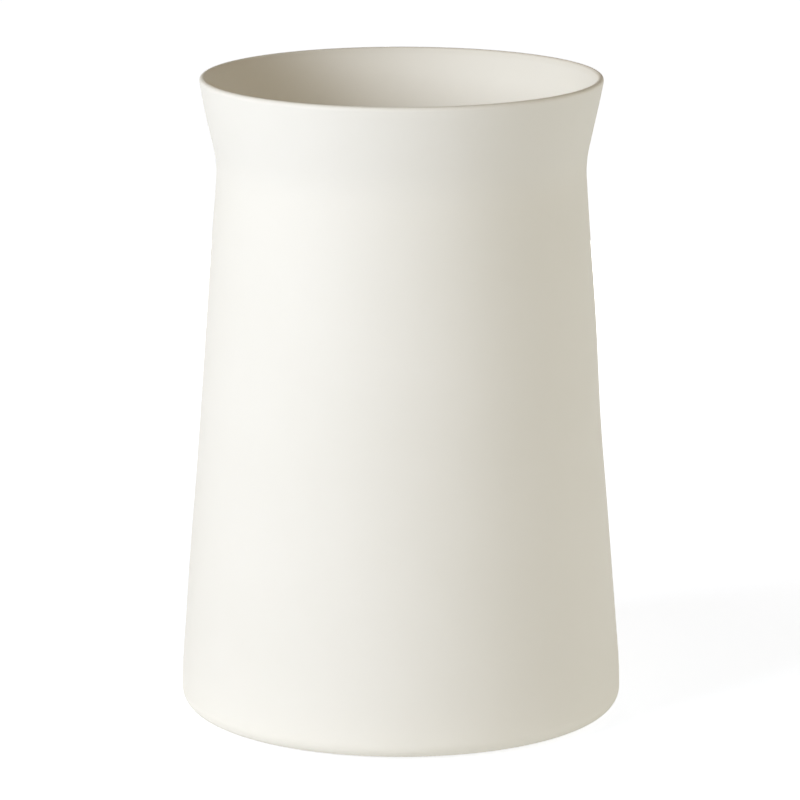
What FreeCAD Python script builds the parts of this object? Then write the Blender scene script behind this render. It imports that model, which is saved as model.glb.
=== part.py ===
import FreeCAD, Part

import math
import os

import Sketcher
from FreeCAD import Vector

# Trumpet vase: one slip-cast vessel of revolution that stands on round rubber pads.
# Millimetres and degrees, +Z up. The origin is on the surface that the vase stands on,
# on the vessel's axis. Each outline is drawn in a vertical plane: x is the distance from
# the axis, y the height.

# Driving dimensions: name, value, what it sets
DIMENSIONS = (
    ("vessel_height", 300.0, "foot to rim, without the pads"),
    ("belly_radius", 104.0, "widest radius, at the top of the foot's rounded corner"),
    ("corner_radius", 8.0, "rounded corner between the foot and the wall"),
    ("shoulder_curve", 220.0, "radius of the outward bulge just above the corner"),
    ("wall_bow", 0.8, "belly to waist, how far the knee of the long wall lies inside the straight line"),
    ("waist_inset", 17.5, "belly's radius less the narrowest radius"),
    ("waist_depth", 44.0, "rim down to the narrowest place"),
    ("waist_curve", 55.0, "radius of the bend from the wall to the flare"),
    ("flare_angle", 12.2, "lean of the flared mouth from upright"),
    ("wall_thickness", 3.0, "cast wall, measured level on the long wall and square on the flare"),
    ("lip_crest_share", 0.33, "round on top of the lip, as a share of the wall"),
    ("lip_roll_share", 1.33, "softened outer edge of the lip, as a share of the wall"),
    ("floor_thickness", 4.5, "recess to the inside of the bottom"),
    ("inner_corner", 10.0, "inside round between floor and wall"),
    ("recess_depth", 2.5, "hollow under the floor"),
    ("ring_width", 16.0, "flat face of the foot ring"),
    ("pad_diameter", 10.0, "self-adhesive rubber pad"),
    ("pad_thickness", 1.5, "rubber pad"),
    ("pad_edge", 0.5, "rounded lower edge of a pad"),
    ("pad_count", 4, "pads, evenly spaced round the foot ring"),
)

# How the sketcher numbers an edge's points and its own two axes
START, END, CENTRE = range(1, 4)
V_AXIS, H_AXIS = range(-2, 0)

RIGHT, LEFT, UP, DOWN = 0.0, math.pi, math.pi / 2, -math.pi / 2

doc = FreeCAD.newDocument("trumpet_vase")


def make_sheet():
    """The driving dimensions in a spreadsheet, and as a dictionary of the cells' values."""
    sheet = doc.addObject("Spreadsheet::Sheet", "sizes")
    for row, (name, value, note) in enumerate(DIMENSIONS, start=1):
        sheet.set(f"A{row}", name)
        sheet.set(f"B{row}", str(value))
        sheet.setAlias(f"B{row}", name)
        sheet.set(f"C{row}", note)
    doc.recompute()
    return {name: sheet.get(name) for name, _, _ in DIMENSIONS}


def new_body(name):
    """A PartDesign body whose label is the node's name."""
    body = doc.addObject("PartDesign::Body", name)
    body.Label = name
    return body


def new_sketch(body, name, plane):
    """A sketch in the body, on one of the body's own origin planes."""
    sketch = body.newObject("Sketcher::SketchObject", name)
    support = next(item for item in body.Origin.OriginFeatures if item.Role == plane)
    sketch.AttachmentSupport = (support, [""])
    sketch.MapMode = "FlatFace"
    return sketch


def direction(angle):
    """Unit vector at an angle from the sketch's x axis."""
    return Vector(math.cos(angle), math.sin(angle), 0)


def arc(centre, radius, first, last):
    """Arc that runs counter-clockwise from the first angle to the last."""
    return Part.ArcOfCircle(Part.Circle(centre, Vector(0, 0, 1), radius), first, last)


def touch(centre, radius, point):
    """Angle at which a straight line from the point touches a circle, on its clockwise side."""
    reach = point - centre
    return math.atan2(reach.y, reach.x) % math.tau - math.acos(radius / reach.Length)


def bend(first, knee, last):
    """Smooth curve that leaves the first point towards the knee and reaches the last from it."""
    curve = Part.BSplineCurve()
    curve.buildFromPolesMultsKnots([first, knee, last], [3, 3], [0, 1], False, 2)
    return curve


def bind(sketch, name, constraint, formula):
    """Add a named dimension that follows the spreadsheet."""
    sketch.addConstraint(constraint)
    sketch.renameConstraint(sketch.ConstraintCount - 1, name)
    sketch.setExpression(f"Constraints.{name}", formula)


def wall_outline(size):
    """The vessel's outline as a closed chain, from the axis under the floor outwards and up,
    over the lip and down the inside. Each entry is name, shape, the end where the chain
    comes in and the end where it leaves."""
    wall = size["wall_thickness"]
    recess = size["recess_depth"]
    height = size["vessel_height"]
    corner = size["corner_radius"]
    flare = math.radians(size["flare_angle"])

    belly = size["belly_radius"]

    # Foot ring: the recess rises in two equal quarter arcs from the ring's flat face
    step = recess / 2
    ring_outside = belly - corner
    ring_inside = ring_outside - size["ring_width"]
    corner_centre = Vector(ring_outside, corner, 0)

    # Outer wall: a long bend from the shoulder's circle to the waist's circle
    waist_radius = belly - size["waist_inset"]
    shoulder = Vector(belly - size["shoulder_curve"], corner, 0)
    waist = Vector(waist_radius + size["waist_curve"], height - size["waist_depth"], 0)
    knee = Vector((belly + waist_radius) / 2 - size["wall_bow"], (shoulder.y + waist.y) / 2, 0)
    shoulder_end = touch(shoulder, size["shoulder_curve"], knee)
    wall_top = touch(waist, size["waist_curve"], knee)
    flare_start = LEFT - flare

    # Lip: a small crest arc touches the inner flare line, and a larger arc rolls its outer edge
    outward = direction(-flare)
    upward = direction(UP - flare)
    crest = wall * size["lip_crest_share"]
    roll = wall * size["lip_roll_share"]
    flare_foot = waist - outward * size["waist_curve"]
    inset = flare_foot - outward * (wall - crest)
    crest_centre = inset + upward * ((height - crest - inset.y) / upward.y)
    sideways = roll - (wall - crest)
    lower = math.sqrt((roll - crest) ** 2 - sideways ** 2)
    roll_centre = crest_centre - outward * sideways - upward * lower
    roll_end = math.atan2(crest_centre.y - roll_centre.y, crest_centre.x - roll_centre.x)

    # Inside: the same shape, a wall further in, down to the round above the floor
    inner_flare_top = crest_centre - outward * crest
    inner_flare_foot = waist - outward * (size["waist_curve"] + wall)
    floor_top = recess + size["floor_thickness"]
    inner_corner = size["inner_corner"]
    inner_centre = Vector(belly - wall - inner_corner, floor_top + inner_corner, 0)
    inner_knee = knee - Vector(wall, 0, 0)
    inner_top = touch(waist, size["waist_curve"] + wall, inner_knee)
    inner_foot = touch(inner_centre, inner_corner, inner_knee)

    recess_edge = Vector(ring_inside - recess, recess, 0)
    floor_edge = Vector(inner_centre.x, floor_top, 0)
    axis_low = Vector(0, recess, 0)
    axis_high = Vector(0, floor_top, 0)
    return (
        ("underside", Part.LineSegment(axis_low, recess_edge), START, END),
        ("recess_round", arc(recess_edge - Vector(0, step, 0), step, RIGHT, UP), END, START),
        ("ring_round", arc(Vector(ring_inside, step, 0), step, LEFT, LEFT + UP), START, END),
        ("ring", Part.LineSegment(Vector(ring_inside, 0, 0), Vector(ring_outside, 0, 0)), START, END),
        ("corner", arc(corner_centre, corner, DOWN, RIGHT), START, END),
        ("shoulder", arc(shoulder, size["shoulder_curve"], RIGHT, shoulder_end), START, END),
        ("wall", bend(shoulder + direction(shoulder_end) * size["shoulder_curve"], knee,
                      waist + direction(wall_top) * size["waist_curve"]), START, END),
        ("waist", arc(waist, size["waist_curve"], flare_start, wall_top), END, START),
        ("flare", Part.LineSegment(flare_foot, roll_centre + outward * roll), START, END),
        ("lip_roll", arc(roll_centre, roll, -flare, roll_end), START, END),
        ("lip_crest", arc(crest_centre, crest, roll_end, flare_start), START, END),
        ("inner_flare", Part.LineSegment(inner_flare_top, inner_flare_foot), START, END),
        ("inner_waist", arc(waist, size["waist_curve"] + wall, flare_start, inner_top), START, END),
        ("inner_wall", bend(waist + direction(inner_top) * (size["waist_curve"] + wall), inner_knee,
                            inner_centre + direction(inner_foot) * inner_corner), START, END),
        ("inner_round", arc(inner_centre, inner_corner, DOWN, inner_foot), END, START),
        ("floor", Part.LineSegment(floor_edge, axis_high), START, END),
        ("axis", Part.LineSegment(axis_high, axis_low), START, END),
    )


def make_vessel(size):
    """The ceramic vessel: one closed outline turned round the axis."""
    body = new_body("vessel")
    sketch = new_sketch(body, "vessel_outline", "XZ_Plane")
    chain = wall_outline(size)
    edge = {name: sketch.addGeometry(shape) for name, shape, _, _ in chain}

    # Each long bend shows its control points, of which the second is the knee
    for name in ("wall", "inner_wall"):
        edge[f"{name}_knee"] = sketch.GeometryCount + 1
        sketch.exposeInternalGeometry(edge[name])

    # Every joint is smooth, apart from the two on the axis
    for (name, _, _, leave), (following, _, enter, _) in zip(chain, chain[1:] + chain[:1]):
        kind = "Coincident" if "axis" in (name, following) else "Tangent"
        sketch.addConstraint(Sketcher.Constraint(kind, edge[name], leave, edge[following], enter))

    # Directions, centre lines and shared centres
    for name in ("underside", "ring", "floor"):
        sketch.addConstraint(Sketcher.Constraint("Horizontal", edge[name]))
    for end in (START, END):
        sketch.addConstraint(Sketcher.Constraint("PointOnObject", edge["axis"], end, V_AXIS))
    waist_centres = (edge["waist"], CENTRE, edge["inner_waist"], CENTRE)
    sketch.addConstraint(Sketcher.Constraint("Coincident", *waist_centres))
    sketch.addConstraint(Sketcher.Constraint("PointOnObject", edge["ring"], START, H_AXIS))
    sketch.addConstraint(Sketcher.Constraint("Horizontal", edge["corner"], CENTRE, edge["corner"], END))
    sketch.addConstraint(Sketcher.Constraint("Parallel", edge["flare"], edge["inner_flare"]))

    # Radii
    radii = {
        "recess_round": "sizes.recess_depth / 2",
        "ring_round": "sizes.recess_depth / 2",
        "corner": "sizes.corner_radius",
        "shoulder": "sizes.shoulder_curve",
        "waist": "sizes.waist_curve",
        "lip_roll": "sizes.wall_thickness * sizes.lip_roll_share",
        "lip_crest": "sizes.wall_thickness * sizes.lip_crest_share",
        "inner_waist": "sizes.waist_curve + sizes.wall_thickness",
        "inner_round": "sizes.inner_corner",
    }
    shapes = {name: shape for name, shape, _, _ in chain}
    for name, formula in radii.items():
        radius = Sketcher.Constraint("Radius", edge[name], shapes[name].Radius)
        bind(sketch, f"{name}_radius", radius, formula)

    # Heights and distances from the axis, measured from the sketch's origin
    waist_radius = "sizes.belly_radius - sizes.waist_inset"
    knee_reach = "sizes.belly_radius - sizes.waist_inset / 2 - sizes.wall_bow"
    knee_height = "(sizes.corner_radius + sizes.vessel_height - sizes.waist_depth) / 2"
    inner_knee_reach = f"{knee_reach} - sizes.wall_thickness"
    places = (
        ("recess_height", "DistanceY", "underside", START, "sizes.recess_depth"),
        ("floor_height", "DistanceY", "floor", END, "sizes.recess_depth + sizes.floor_thickness"),
        ("crest_height", "DistanceY", "lip_crest", CENTRE,
         "sizes.vessel_height - sizes.wall_thickness * sizes.lip_crest_share"),
        ("waist_height", "DistanceY", "waist", CENTRE, "sizes.vessel_height - sizes.waist_depth"),
        ("waist_reach", "DistanceX", "waist", CENTRE, f"{waist_radius} + sizes.waist_curve"),
        ("belly_reach", "DistanceX", "corner", END, "sizes.belly_radius"),
        ("inner_round_reach", "DistanceX", "inner_round", CENTRE,
         "sizes.belly_radius - sizes.wall_thickness - sizes.inner_corner"),
        ("knee_reach", "DistanceX", "wall_knee", CENTRE, knee_reach),
        ("knee_height", "DistanceY", "wall_knee", CENTRE, knee_height),
        ("inner_knee_reach", "DistanceX", "inner_wall_knee", CENTRE, inner_knee_reach),
        ("inner_knee_height", "DistanceY", "inner_wall_knee", CENTRE, knee_height),
    )
    for name, kind, on, end, formula in places:
        point = sketch.getPoint(edge[on], end)
        value = point.y if kind == "DistanceY" else point.x
        bind(sketch, name, Sketcher.Constraint(kind, H_AXIS, START, edge[on], end, value), formula)
    ring = Sketcher.Constraint("DistanceX", edge["ring"], START, edge["ring"], END, size["ring_width"])
    bind(sketch, "ring_face", ring, "sizes.ring_width")
    lean = Sketcher.Constraint("Angle", edge["flare"], math.radians(90 - size["flare_angle"]))
    bind(sketch, "flare_lean", lean, "90 deg - sizes.flare_angle * 1 deg")

    doc.recompute()
    turned = body.newObject("PartDesign::Revolution", "vessel_turned")
    turned.Profile = sketch
    turned.ReferenceAxis = (sketch, ["V_Axis"])
    turned.Angle = 360
    sketch.Visibility = False
    body.setExpression("Placement.Base.z", "sizes.pad_thickness * 1 mm")
    return body


def make_pad(number, size):
    """One rubber pad, centred on the width of the foot ring's flat face."""
    body = new_body(f"foot_pad_{number}")
    sketch = new_sketch(body, f"pad_outline_{number}", "XY_Plane")
    reach = size["belly_radius"] - size["corner_radius"] - size["ring_width"] / 2
    radius = size["pad_diameter"] / 2
    circle = sketch.addGeometry(Part.Circle(Vector(reach, 0, 0), Vector(0, 0, 1), radius))
    sketch.addConstraint(Sketcher.Constraint("PointOnObject", circle, CENTRE, H_AXIS))
    bind(sketch, "pad_radius", Sketcher.Constraint("Radius", circle, radius), "sizes.pad_diameter / 2")
    place = Sketcher.Constraint("DistanceX", H_AXIS, START, circle, CENTRE, reach)
    bind(sketch, "pad_reach", place, "sizes.belly_radius - sizes.corner_radius - sizes.ring_width / 2")

    doc.recompute()
    disc = body.newObject("PartDesign::Pad", f"pad_disc_{number}")
    disc.Profile = sketch
    disc.setExpression("Length", "sizes.pad_thickness")
    sketch.Visibility = False
    doc.recompute()

    # The lowest edge of the disc is the one to round
    edges = {f"Edge{index}": rim for index, rim in enumerate(disc.Shape.Edges, start=1)}
    lowest = min(edges, key=lambda name: edges[name].BoundBox.ZMax)
    rounded = body.newObject("PartDesign::Fillet", f"pad_round_{number}")
    rounded.Base = (disc, [lowest])
    rounded.setExpression("Radius", "sizes.pad_edge")

    # The first pad stands half a step from the x axis, and the others follow round
    step = 360 / size["pad_count"]
    turn = FreeCAD.Rotation(Vector(0, 0, 1), step * (number - 0.5))
    body.Placement = FreeCAD.Placement(Vector(0, 0, 0), turn)
    return body


def check(bodies):
    """Stop if anything in the document failed, or if a sub-part isn't one sound solid."""
    for item in doc.Objects:
        if "Invalid" in item.State or "Error" in item.State:
            raise RuntimeError(f"{item.Label} failed to compute: {item.State}")
        if item.isDerivedFrom("Sketcher::SketchObject") and not item.FullyConstrained:
            raise RuntimeError(f"{item.Label} isn't fully constrained")
    for body in bodies:
        if body.Shape.isNull() or not body.Shape.isValid() or len(body.Shape.Solids) != 1:
            raise RuntimeError(f"{body.Label} isn't one valid solid")


size = make_sheet()
bodies = [make_vessel(size)]
for number in range(1, int(size["pad_count"]) + 1):
    bodies.append(make_pad(number, size))
doc.recompute()
check(bodies)

os.makedirs("parts", exist_ok=True)
for body in bodies:
    body.Shape.exportStep(os.path.join("parts", f"{body.Label}.step"))
    box = body.Shape.BoundBox
    print(f"{body.Label}: {body.Shape.Volume / 1000:.2f} cm3, "
          f"x {box.XMin:.2f} to {box.XMax:.2f}, z {box.ZMin:.2f} to {box.ZMax:.2f}")
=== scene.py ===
import math

import bpy
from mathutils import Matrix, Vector


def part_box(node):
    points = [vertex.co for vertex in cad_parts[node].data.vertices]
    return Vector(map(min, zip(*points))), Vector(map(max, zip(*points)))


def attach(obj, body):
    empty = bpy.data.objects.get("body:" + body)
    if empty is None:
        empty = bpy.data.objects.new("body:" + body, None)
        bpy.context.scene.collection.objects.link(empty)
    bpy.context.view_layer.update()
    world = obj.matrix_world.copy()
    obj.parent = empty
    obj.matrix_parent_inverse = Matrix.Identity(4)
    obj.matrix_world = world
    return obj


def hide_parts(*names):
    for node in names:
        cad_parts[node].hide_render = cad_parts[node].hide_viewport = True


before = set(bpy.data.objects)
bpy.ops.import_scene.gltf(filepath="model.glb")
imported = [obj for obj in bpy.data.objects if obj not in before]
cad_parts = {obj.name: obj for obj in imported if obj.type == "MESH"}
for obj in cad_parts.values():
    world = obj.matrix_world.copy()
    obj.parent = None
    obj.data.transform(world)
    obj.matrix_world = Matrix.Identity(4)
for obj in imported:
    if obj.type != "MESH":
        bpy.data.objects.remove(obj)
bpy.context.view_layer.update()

# Trumpet vase in satin off-white glaze, on four rubber pads. Metres, in the frame of the
# CAD solids. The vessel is turned anew from the same sizes, with a slightly fuller lip, the
# glaze's lower edge, the bare clay foot and the slight wander of a hand-finished wall.
MM = 0.001
lowest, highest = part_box("vessel")

# The vessel's outline, as heights above its foot and distances from its axis
FOOT_HEIGHT = lowest.z
VESSEL_HEIGHT = highest.z - lowest.z
BELLY_RADIUS = 104 * MM
CORNER_RADIUS = 8 * MM
SHOULDER_CURVE = 220 * MM
WALL_BOW = 0.8 * MM
WAIST_INSET = 17.5 * MM
WAIST_DEPTH = 44 * MM
WAIST_CURVE = 55 * MM
FLARE_ANGLE = math.radians(12.2)
WALL = 3 * MM
LIP_CREST = 0.47 * WALL
LIP_ROLL = 1.1 * WALL
FLOOR_THICKNESS = 4.5 * MM
INNER_CORNER = 10 * MM
RECESS_DEPTH = 2.5 * MM
RING_WIDTH = 16 * MM

# Glaze: where it stops on the foot's corner, measured up from the downward direction, how
# wide its sloping edge is there, and how far the bare clay lies below it
GLAZE_STOP = math.radians(22)
GLAZE_EDGE = math.radians(3)
GLAZE_STEP = 0.22 * MM

# Darker, warmer glaze at the rim and on the foot: how far below the rim and above the glaze's
# stop it reaches, and how dark it gets there, from 0 to 1. At the rim it is partly thinner glaze
# on the crest and partly painted shade. It grows from its share at the left and the middle to
# nearly 1 at the far right, the side in shade, and it falls off below the rim by the power. On
# the foot it is a band just above the glaze's stop.
RIM_SHADE_DEPTH = 2 * MM
LIP_SHARE = 0.45
LIP_POWER = 1.5
FOOT_BAND_HEIGHT = 0.8 * MM
FOOT_SHARE = 0.4

# Slight wander of the wall: how far out, the side it is on, its height and its spread. It
# grows from nothing over the lowest part of the wall.
WANDER = (
    (0.35 * MM, math.radians(0), 190 * MM, 28 * MM),
    (-0.45 * MM, math.radians(0), 135 * MM, 30 * MM),
    (-0.5 * MM, math.radians(180), 253 * MM, 22 * MM),
    (0.4 * MM, math.radians(180), 72 * MM, 34 * MM),
    (-0.7 * MM, math.radians(180), 300 * MM, 11 * MM),
    (-0.2 * MM, math.radians(0), 300 * MM, 8 * MM),
)
WANDER_START = 20 * MM

# Rubber pads: a moulded disc under a thin adhesive film
PAD_RADIUS = 5 * MM
PAD_HEIGHT = 1.5 * MM
PAD_EDGE = 0.5 * MM
PAD_TOP_EDGE = 0.12 * MM
FILM_RADIUS = 4.8 * MM
FILM_HEIGHT = 0.1 * MM
PAD_REACH = BELLY_RADIUS - CORNER_RADIUS - RING_WIDTH / 2
PAD_COUNT = 4

# Materials: each surface varies between two colours and, but for the film, between two
# roughnesses. Along the rim, where shade is painted, and in the band above the glaze's stop, the
# glaze turns this share of the way to its own darker colour.
GLAZE_COLOURS = ((0.846, 0.824, 0.757, 1), (0.834, 0.812, 0.743, 1))
# Warm dark colour of the painted shade along the rim, also used for the foot's darker band
RIM_SHADE_AND_FOOT_BAND_COLOUR = (0.7, 0.64, 0.54, 1)
RIM_SHADE_AND_FOOT_BAND_SHARE = 0.8
GLAZE_ROUGHNESS = (0.55, 0.63)
GLAZE_SPECULAR = 0.1
CLAY_COLOURS = ((0.76, 0.715, 0.63, 1), (0.69, 0.64, 0.55, 1))
CLAY_ROUGHNESS = (0.8, 0.92)
RUBBER_COLOURS = ((0.74, 0.72, 0.67, 1), (0.69, 0.67, 0.62, 1))
RUBBER_ROUGHNESS = (0.38, 0.5)
FILM_COLOURS = ((0.62, 0.6, 0.54, 1), (0.56, 0.54, 0.48, 1))
FILM_ROUGHNESS = 0.3

# The part of a noise's range that its values mostly fill, for colour and for roughness
COLOUR_NOISE = (0.35, 0.65)
ROUGHNESS_NOISE = (0.3, 0.7)

# Studio light, fitted to the shades in the photograph. Lamps: azimuth and elevation in
# degrees, distance, width, height, watts and colour. Azimuth 0 is the camera's side and 90
# the right. The lamp behind the vase lights only the side that the photograph doesn't show.
KEY_BOX = (-51, 20, 2.0, 1.0, 0.8, 30.8, (0.847, 0.904, 1.0))
LOW_REFLECTOR = (69, 0, 1.2, 1.9, 0.28, 4.9, (0.95, 1.0, 0.98))
BACK_REFLECTOR = (180, 0, 1.2, 0.4, 0.28, 4.5, (1.0, 0.97, 0.9))
AIM_HEIGHT = 150 * MM

# The room's glow: its colour and strength, and the elevations in degrees at which it
# starts, is full, starts to fade and is gone
ROOM_GLOW = (1.0, 0.876, 0.69, 1)
ROOM_STRENGTH = 1.27
ROOM_LEVELS = (5, 20, 25, 40)

# Floor: wide enough to fill the view, pale, and lifted to white for the camera. The lift
# is weaker near the vase, for its shadow. Close to the foot the floor glows faintly, less
# on the right, in the shade of the vase.
FLOOR_RADIUS = 4
FLOOR_ROUND = 128
FLOOR_COLOUR = (0.7, 0.72, 0.78, 1)
FLOOR_LIFT = (0.79, 0.81, 0.84, 1)
NEAR_LIFT = 0.86
LIFT_REACH = (0.25, 0.6)
FOOT_GLOW = 0.22
GLOW_COLOUR = (1.0, 0.95, 0.74, 1)
GLOW_REACH = (0.1, 0.13)
GLOW_CENTRE = (-9 * MM, -7 * MM, 0)

# Camera, worked out from the outline in the photograph: a long lens, looking down
CAMERA_PLACE = (-0.4345 * MM, -2235.79 * MM, 642 * MM)
CAMERA_PITCH = math.radians(12.474)
CAMERA_LENS = 218.915
SENSOR_WIDTH = 36

# Points round the vessel and round a pad, and the distance at which two points are one
VESSEL_ROUND = 360
PAD_ROUND = 72
SAME_PLACE = 0.001 * MM

# A Mix node's colour sockets, which share their names with its other sockets
MIX_FIRST, MIX_SECOND, MIX_RESULT = 6, 7, 2


def direction(angle):
    """Unit vector in the outline's plane, at an angle from the outward direction."""
    return Vector((math.cos(angle), math.sin(angle)))


def arc(centre, radius, first, last, count):
    """Points along an arc, from the first angle to the last."""
    angles = (first + (last - first) * i / count for i in range(count + 1))
    return [centre + direction(angle) * radius for angle in angles]


def line(first, last, count):
    """Evenly spaced points along a straight line."""
    return [first.lerp(last, i / count) for i in range(count + 1)]


def bend(first, knee, last, count):
    """Points along the smooth curve that leaves towards the knee and arrives from it."""
    shares = (i / count for i in range(count + 1))
    return [first.lerp(knee, s).lerp(knee.lerp(last, s), s) for s in shares]


def touch(centre, radius, point):
    """Angle at which a straight line from the point touches a circle, on its clockwise side."""
    reach = point - centre
    return math.atan2(reach.y, reach.x) % math.tau - math.acos(radius / reach.length)


def vessel_outline():
    """The runs of the outline from the axis under the floor, over the lip, to the axis
    above the floor: each is a finish and its points. A run's last number counts its steps."""
    down, up, left = -math.pi / 2, math.pi / 2, math.pi
    ring_outside = BELLY_RADIUS - CORNER_RADIUS
    ring_inside = ring_outside - RING_WIDTH
    step = RECESS_DEPTH / 2
    corner = Vector((ring_outside, CORNER_RADIUS))
    waist_radius = BELLY_RADIUS - WAIST_INSET
    shoulder = Vector((BELLY_RADIUS - SHOULDER_CURVE, CORNER_RADIUS))
    waist = Vector((waist_radius + WAIST_CURVE, VESSEL_HEIGHT - WAIST_DEPTH))
    knee = Vector(((BELLY_RADIUS + waist_radius) / 2 - WALL_BOW, (shoulder.y + waist.y) / 2))
    shoulder_end = touch(shoulder, SHOULDER_CURVE, knee)
    wall_top = touch(waist, WAIST_CURVE, knee)
    flare_start = left - FLARE_ANGLE

    outward = direction(-FLARE_ANGLE)
    upward = direction(up - FLARE_ANGLE)
    flare_foot = waist - outward * WAIST_CURVE
    inset = flare_foot - outward * (WALL - LIP_CREST)
    crest = inset + upward * ((VESSEL_HEIGHT - LIP_CREST - inset.y) / upward.y)
    sideways = LIP_ROLL - (WALL - LIP_CREST)
    lower = math.sqrt((LIP_ROLL - LIP_CREST) ** 2 - sideways ** 2)
    roll = crest - outward * sideways - upward * lower
    roll_end = math.atan2(crest.y - roll.y, crest.x - roll.x)

    floor_top = RECESS_DEPTH + FLOOR_THICKNESS
    inner_centre = Vector((BELLY_RADIUS - WALL - INNER_CORNER, floor_top + INNER_CORNER))
    inner_knee = knee - Vector((WALL, 0))
    inner_top = touch(waist, WAIST_CURVE + WALL, inner_knee)
    inner_foot = touch(inner_centre, INNER_CORNER, inner_knee)

    recess_edge = Vector((ring_inside - RECESS_DEPTH, RECESS_DEPTH))
    stop = down + GLAZE_STOP

    # The bare corner starts level with the ring and ends one step below the glaze
    bare_end = corner + direction(stop) * (CORNER_RADIUS - GLAZE_STEP)
    bare_reach = bare_end - Vector((ring_outside, 0))
    bare_radius = bare_reach.length_squared / (2 * bare_reach.y)
    bare_corner = Vector((ring_outside, bare_radius))
    bare_stop = math.atan2(bare_end.y - bare_radius, bare_reach.x)
    return (
        ("glaze", line(Vector((0, RECESS_DEPTH)), recess_edge, 10)),
        ("clay", arc(recess_edge - Vector((0, step)), step, up, 0, 8)),
        ("clay", arc(Vector((ring_inside, step)), step, left, left + up, 8)),
        ("clay", line(Vector((ring_inside, 0)), Vector((ring_outside, 0)), 6)),
        ("clay", arc(bare_corner, bare_radius, down, bare_stop, 10)),
        ("glaze", line(bare_end, corner + direction(stop + GLAZE_EDGE) * CORNER_RADIUS, 3)),
        ("glaze", arc(corner, CORNER_RADIUS, stop + GLAZE_EDGE, 0, 24)),
        ("glaze", arc(shoulder, SHOULDER_CURVE, 0, shoulder_end, 12)),
        ("glaze", bend(shoulder + direction(shoulder_end) * SHOULDER_CURVE, knee,
                       waist + direction(wall_top) * WAIST_CURVE, 48)),
        ("glaze", arc(waist, WAIST_CURVE, wall_top, flare_start, 16)),
        ("glaze", line(flare_foot, roll + outward * LIP_ROLL, 12)),
        ("glaze", arc(roll, LIP_ROLL, -FLARE_ANGLE, roll_end, 12)),
        ("glaze", arc(crest, LIP_CREST, roll_end, flare_start, 12)),
        ("glaze", line(crest - outward * LIP_CREST, waist - outward * (WAIST_CURVE + WALL), 12)),
        ("glaze", arc(waist, WAIST_CURVE + WALL, flare_start, inner_top, 16)),
        ("glaze", bend(waist + direction(inner_top) * (WAIST_CURVE + WALL), inner_knee,
                       inner_centre + direction(inner_foot) * INNER_CORNER, 48)),
        ("glaze", arc(inner_centre, INNER_CORNER, inner_foot, down, 14)),
        ("glaze", line(Vector((inner_centre.x, floor_top)), Vector((0, floor_top)), 14)),
    )


def turned_mesh(name, runs, place, count, wander):
    """Turn an outline round the axis at a place. The wander gives how far out a point is
    moved, from its turn and height. Returns the mesh and the finish of each face."""
    points, finishes = [], []
    for finish, run in runs:
        for point in run:
            if points and (point - points[-1]).length < SAME_PLACE:
                continue
            if points:
                finishes.append(finish)
            points.append(point)
    vertices, rings = [], []
    for point in points:
        first = len(vertices)
        if point.x < SAME_PLACE:
            vertices.append((place.x, place.y, place.z + point.y))
            rings.append([first] * count)
            continue
        for i in range(count):
            turn = math.tau * i / count
            reach = point.x + wander(turn, point.y)
            vertices.append((place.x + reach * math.cos(turn), place.y + reach * math.sin(turn),
                             place.z + point.y))
        rings.append(list(range(first, first + count)))
    faces, bands = [], []
    for finish, low, high in zip(finishes, rings, rings[1:]):
        for i in range(count):
            j = (i + 1) % count
            faces.append(list(dict.fromkeys((low[i], low[j], high[j], high[i]))))
            bands.append(finish)
    mesh = bpy.data.meshes.new(name)
    mesh.from_pydata(vertices, [], faces)
    mesh.shade_smooth()
    return mesh, bands


def finish_faces(mesh, bands, main, other, other_finish):
    """Give the mesh its main material, and the other one on the faces with that finish."""
    mesh.materials.append(main)
    mesh.materials.append(other)
    for face, finish in zip(mesh.polygons, bands):
        face.material_index = 1 if finish == other_finish else 0


def wall_wander(turn, height):
    """How far out the wall stands at a turn and height."""
    out = 0
    for far, side, level, spread in WANDER:
        facing = max(0, math.cos(turn - side)) ** 2
        out += far * facing * math.exp(-((height - level) / spread) ** 2)
    return out * min(1, height / WANDER_START)


def no_wander(turn, height):
    """A moulded piece is true."""
    return 0


def new_material(name):
    """A material with a principled shader: the material, its nodes, links and shader."""
    material = bpy.data.materials.new(name)
    material.use_nodes = True
    nodes = material.node_tree.nodes
    return material, nodes, material.node_tree.links, nodes["Principled BSDF"]


def noise(nodes, links, place, scale, detail):
    """Noise over the object, in features per metre. Returns its value."""
    texture = nodes.new("ShaderNodeTexNoise")
    texture.inputs["Scale"].default_value = scale
    texture.inputs["Detail"].default_value = detail
    links.new(place, texture.inputs["Vector"])
    return texture.outputs["Fac"]


def remap(nodes, links, value, source, target):
    """The value moved from the source range to the target range and held there."""
    node = nodes.new("ShaderNodeMapRange")
    for socket, number in zip(("From Min", "From Max", "To Min", "To Max"), source + target):
        node.inputs[socket].default_value = number
    links.new(value, node.inputs["Value"])
    return node.outputs["Result"]


def mix(nodes, links, share, first, second):
    """Colour between two colours. Each is four numbers or a socket."""
    node = nodes.new("ShaderNodeMix")
    node.data_type = "RGBA"
    links.new(share, node.inputs["Factor"])
    for socket, colour in ((node.inputs[MIX_FIRST], first), (node.inputs[MIX_SECOND], second)):
        if isinstance(colour, tuple):
            socket.default_value = colour
        else:
            links.new(colour, socket)
    return node.outputs[MIX_RESULT]


def combine(nodes, links, operation, first, second):
    """One value from two, by a Math node."""
    node = nodes.new("ShaderNodeMath")
    node.operation = operation
    links.new(first, node.inputs[0])
    links.new(second, node.inputs[1])
    return node.outputs["Value"]


def bump(nodes, links, height, distance, strength, before=None):
    """Fine relief, on top of the relief before it if there is one. Returns the normal."""
    node = nodes.new("ShaderNodeBump")
    node.inputs["Distance"].default_value = distance
    node.inputs["Strength"].default_value = strength
    links.new(height, node.inputs["Height"])
    if before:
        links.new(before, node.inputs["Normal"])
    return node.outputs["Normal"]


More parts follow.
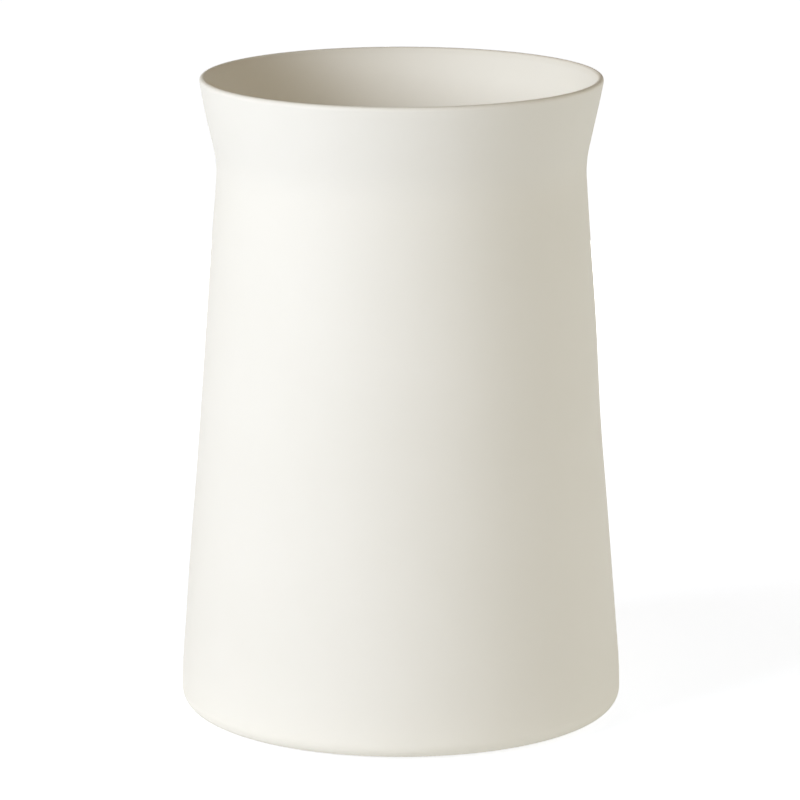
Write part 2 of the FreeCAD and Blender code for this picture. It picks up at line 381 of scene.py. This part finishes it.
def glaze_material():
    """Satin off-white glaze: faint clouds in colour and gloss, a soft ripple under a fine skin,
    and a warmer, darker tone along the rim, partly thinner glaze on the crest and partly painted
    shade growing to the right, and in a band just above the glaze's stop on the foot."""
    material, nodes, links, shader = new_material("satin_glaze")
    place = nodes.new("ShaderNodeTexCoord").outputs["Object"]
    rim_shade_and_foot_band = nodes.new("ShaderNodeAttribute")
    rim_shade_and_foot_band.attribute_name = "rim_shade_and_foot_band"

    clouds = noise(nodes, links, place, scale=14, detail=3)
    clouds = remap(nodes, links, clouds, COLOUR_NOISE, (0, 1))
    body = mix(nodes, links, clouds, *GLAZE_COLOURS)
    # Painted shade along the rim, and the foot's darker band, mixed in from the vertex attribute
    edge = remap(nodes, links, rim_shade_and_foot_band.outputs["Fac"], (0, 1), (0, RIM_SHADE_AND_FOOT_BAND_SHARE))
    links.new(mix(nodes, links, edge, body, RIM_SHADE_AND_FOOT_BAND_COLOUR), shader.inputs["Base Color"])
    gloss = noise(nodes, links, place, scale=45, detail=4)
    gloss = remap(nodes, links, gloss, ROUGHNESS_NOISE, GLAZE_ROUGHNESS)
    links.new(gloss, shader.inputs["Roughness"])
    shader.inputs["Specular IOR Level"].default_value = GLAZE_SPECULAR
    ripple = noise(nodes, links, place, scale=90, detail=2)
    ripple = bump(nodes, links, ripple, distance=0.05 * MM, strength=0.5)
    skin = noise(nodes, links, place, scale=900, detail=3)
    skin = bump(nodes, links, skin, distance=0.01 * MM, strength=0.5, before=ripple)
    links.new(skin, shader.inputs["Normal"])
    return material


def clay_material():
    """Bare fired clay on the foot: a little darker and warmer, dull and finely grained."""
    material, nodes, links, shader = new_material("bare_clay")
    place = nodes.new("ShaderNodeTexCoord").outputs["Object"]
    grain = noise(nodes, links, place, scale=1800, detail=4)
    grain = remap(nodes, links, grain, COLOUR_NOISE, (0, 1))
    links.new(mix(nodes, links, grain, *CLAY_COLOURS), shader.inputs["Base Color"])
    dull = noise(nodes, links, place, scale=300, detail=3)
    dull = remap(nodes, links, dull, ROUGHNESS_NOISE, CLAY_ROUGHNESS)
    links.new(dull, shader.inputs["Roughness"])
    relief = bump(nodes, links, grain, distance=0.03 * MM, strength=0.6)
    links.new(relief, shader.inputs["Normal"])
    return material


def rubber_material():
    """Milky silicone rubber with a soft bloom."""
    material, nodes, links, shader = new_material("milky_rubber")
    place = nodes.new("ShaderNodeTexCoord").outputs["Object"]
    bloom = noise(nodes, links, place, scale=400, detail=3)
    bloom = remap(nodes, links, bloom, COLOUR_NOISE, (0, 1))
    links.new(mix(nodes, links, bloom, *RUBBER_COLOURS), shader.inputs["Base Color"])
    dull = remap(nodes, links, bloom, (0, 1), RUBBER_ROUGHNESS)
    links.new(dull, shader.inputs["Roughness"])
    fine = noise(nodes, links, place, scale=2500, detail=2)
    fine = bump(nodes, links, fine, distance=0.01 * MM, strength=0.5)
    links.new(fine, shader.inputs["Normal"])
    return material


def film_material():
    """Thin adhesive film between a pad and the clay."""
    material, nodes, links, shader = new_material("adhesive_film")
    place = nodes.new("ShaderNodeTexCoord").outputs["Object"]
    wrinkle = noise(nodes, links, place, scale=600, detail=2)
    links.new(mix(nodes, links, wrinkle, *FILM_COLOURS), shader.inputs["Base Color"])
    shader.inputs["Roughness"].default_value = FILM_ROUGHNESS
    return material


def add_piece(name, mesh, node):
    """A finished piece in place of its CAD node."""
    piece = bpy.data.objects.new(name, mesh)
    bpy.context.scene.collection.objects.link(piece)
    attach(piece, "root")
    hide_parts(node)


def rim_shade_and_foot_band_at(point):
    """How far the glaze turns to its darker colour at a point of the vessel, from 0, not at all,
    to 1, most: painted shade along the rim, strongest at the far right, with thinner glaze on the
    crest, and a band just above the glaze's stop.
    """
    height = point.z - FOOT_HEIGHT
    lip = max(0, height - VESSEL_HEIGHT + RIM_SHADE_DEPTH) / RIM_SHADE_DEPTH
    right = max(0, point.x) / BELLY_RADIUS
    share = LIP_SHARE + (1 - LIP_SHARE) * right
    stop = CORNER_RADIUS * (1 - math.cos(GLAZE_STOP))
    foot = min(1, max(0, 1 - (height - stop) / FOOT_BAND_HEIGHT))
    return max(share * lip ** LIP_POWER, FOOT_SHARE * foot)


def make_vessel():
    """The ceramic vessel, glazed but for its foot."""
    place = Vector((0, 0, FOOT_HEIGHT))
    mesh, bands = turned_mesh("vessel_glazed", vessel_outline(), place, VESSEL_ROUND, wall_wander)
    finish_faces(mesh, bands, glaze_material(), clay_material(), "clay")
    # Per point share of the painted shade along the rim and of the foot's darker band
    rim_shade_and_foot_band = mesh.attributes.new("rim_shade_and_foot_band", "FLOAT", "POINT")
    for vertex, value in zip(mesh.vertices, rim_shade_and_foot_band.data):
        value.value = rim_shade_and_foot_band_at(vertex.co)
    add_piece("vessel_glazed", mesh, "vessel")


def pad_outline():
    """A pad from the middle of its underside, up its side and over the film."""
    side = PAD_HEIGHT - FILM_HEIGHT
    film = Vector((FILM_RADIUS, PAD_HEIGHT))
    low = Vector((PAD_RADIUS - PAD_EDGE, PAD_EDGE))
    high = Vector((PAD_RADIUS - PAD_TOP_EDGE, side - PAD_TOP_EDGE))
    return (
        ("rubber", line(Vector((0, 0)), low - Vector((0, PAD_EDGE)), 6)),
        ("rubber", arc(low, PAD_EDGE, -math.pi / 2, 0, 10)),
        ("rubber", arc(high, PAD_TOP_EDGE, 0, math.pi / 2, 5)),
        ("rubber", line(Vector((high.x, side)), Vector((FILM_RADIUS, side)), 1)),
        ("film", line(Vector((FILM_RADIUS, side)), film, 2)),
        ("film", line(film, Vector((0, PAD_HEIGHT)), 6)),
    )


def make_pads():
    """The four rubber pads, each in place of its CAD node."""
    rubber, film = rubber_material(), film_material()
    for number in range(1, PAD_COUNT + 1):
        turn = math.tau * (number - 0.5) / PAD_COUNT
        place = Vector((PAD_REACH * math.cos(turn), PAD_REACH * math.sin(turn), 0))
        name = f"rubber_pad_{number}"
        mesh, bands = turned_mesh(name, pad_outline(), place, PAD_ROUND, no_wander)
        finish_faces(mesh, bands, rubber, film, "film")
        add_piece(name, mesh, f"foot_pad_{number}")


def shown_to_eye(nodes, links):
    """1 for what the camera sees, straight or in a gloss or through glass, and else 0."""
    path = nodes.new("ShaderNodeLightPath").outputs
    gloss = combine(nodes, links, "MAXIMUM", path["Is Camera Ray"], path["Is Glossy Ray"])
    return combine(nodes, links, "MAXIMUM", gloss, path["Is Transmission Ray"])


def make_floor():
    """Wide pale floor that shows white to the camera and keeps the vase's shadow. Its faint
    glow round the foot lights the foot's corner from below, as a bright sweep does."""
    material, nodes, links, shader = new_material("floor_paper")
    shader.inputs["Base Color"].default_value = FLOOR_COLOUR
    shader.inputs["Roughness"].default_value = 1
    shader.inputs["Specular IOR Level"].default_value = 0
    reach = nodes.new("ShaderNodeVectorMath")
    reach.operation = "DISTANCE"
    reach.inputs[1].default_value = GLOW_CENTRE
    links.new(nodes.new("ShaderNodeTexCoord").outputs["Object"], reach.inputs[0])
    lift = remap(nodes, links, reach.outputs["Value"], LIFT_REACH, (NEAR_LIFT, 1))
    glow = remap(nodes, links, reach.outputs["Value"], GLOW_REACH, (FOOT_GLOW, 0))
    eye = shown_to_eye(nodes, links)
    links.new(mix(nodes, links, eye, GLOW_COLOUR, FLOOR_LIFT), shader.inputs["Emission Color"])
    seen = combine(nodes, links, "MULTIPLY", eye, lift)
    shine = combine(nodes, links, "MAXIMUM", seen, glow)
    links.new(shine, shader.inputs["Emission Strength"])
    bpy.ops.mesh.primitive_circle_add(vertices=FLOOR_ROUND, radius=FLOOR_RADIUS, fill_type="NGON")
    floor = bpy.context.object
    floor.name = "floor"
    floor.data.materials.append(material)


def make_camera():
    """Camera at the photograph's place. Only its pitch is turned."""
    data = bpy.data.cameras.new("camera")
    data.sensor_width = SENSOR_WIDTH
    data.lens = CAMERA_LENS
    camera = bpy.data.objects.new("camera", data)
    camera.location = CAMERA_PLACE
    camera.rotation_euler = (math.pi / 2 - CAMERA_PITCH, 0, 0)
    bpy.context.scene.collection.objects.link(camera)
    bpy.context.scene.camera = camera


def make_softbox(name, azimuth, elevation, distance, width, height, power, colour):
    """Flat lamp that faces the middle of the vase."""
    data = bpy.data.lights.new(name, "AREA")
    data.shape = "RECTANGLE"
    data.size = width
    data.size_y = height
    data.energy = power
    data.color = colour
    lamp = bpy.data.objects.new(name, data)
    side, rise = math.radians(azimuth), math.radians(elevation)
    level = math.cos(rise)
    way = Vector((math.sin(side) * level, -math.cos(side) * level, math.sin(rise)))
    lamp.location = Vector((0, 0, AIM_HEIGHT)) + way * distance
    lamp.rotation_euler = (-way).to_track_quat("-Z", "Y").to_euler()
    lamp.visible_camera = False
    bpy.context.scene.collection.objects.link(lamp)


def make_world():
    """Dim room with a warm glow low all round it, which shows white to the camera."""
    world = bpy.data.worlds.new("studio")
    bpy.context.scene.world = world
    world.use_nodes = True
    nodes, links = world.node_tree.nodes, world.node_tree.links
    room = nodes["Background"]
    room.inputs["Color"].default_value = ROOM_GLOW
    split = nodes.new("ShaderNodeSeparateXYZ")
    links.new(nodes.new("ShaderNodeTexCoord").outputs["Generated"], split.inputs["Vector"])

    # The glow fades in and out with the sine of the elevation
    foot, low, high, top = (math.sin(math.radians(level)) for level in ROOM_LEVELS)
    rise = remap(nodes, links, split.outputs["Z"], (foot, low), (0, ROOM_STRENGTH))
    fall = remap(nodes, links, split.outputs["Z"], (high, top), (1, 0))
    for value in (rise, fall):
        value.node.interpolation_type = "SMOOTHSTEP"
    links.new(combine(nodes, links, "MULTIPLY", rise, fall), room.inputs["Strength"])

    white = nodes.new("ShaderNodeBackground")
    white.inputs["Color"].default_value = (1, 1, 1, 1)
    choice = nodes.new("ShaderNodeMixShader")
    links.new(shown_to_eye(nodes, links), choice.inputs["Fac"])
    links.new(room.outputs["Background"], choice.inputs[1])
    links.new(white.outputs["Background"], choice.inputs[2])
    links.new(choice.outputs["Shader"], nodes["World Output"].inputs["Surface"])


make_vessel()
make_pads()
make_floor()
make_camera()
make_world()
make_softbox("key_box", *KEY_BOX)
make_softbox("low_reflector", *LOW_REFLECTOR)
make_softbox("back_reflector", *BACK_REFLECTOR)
bpy.context.scene.view_settings.view_transform = "Standard"
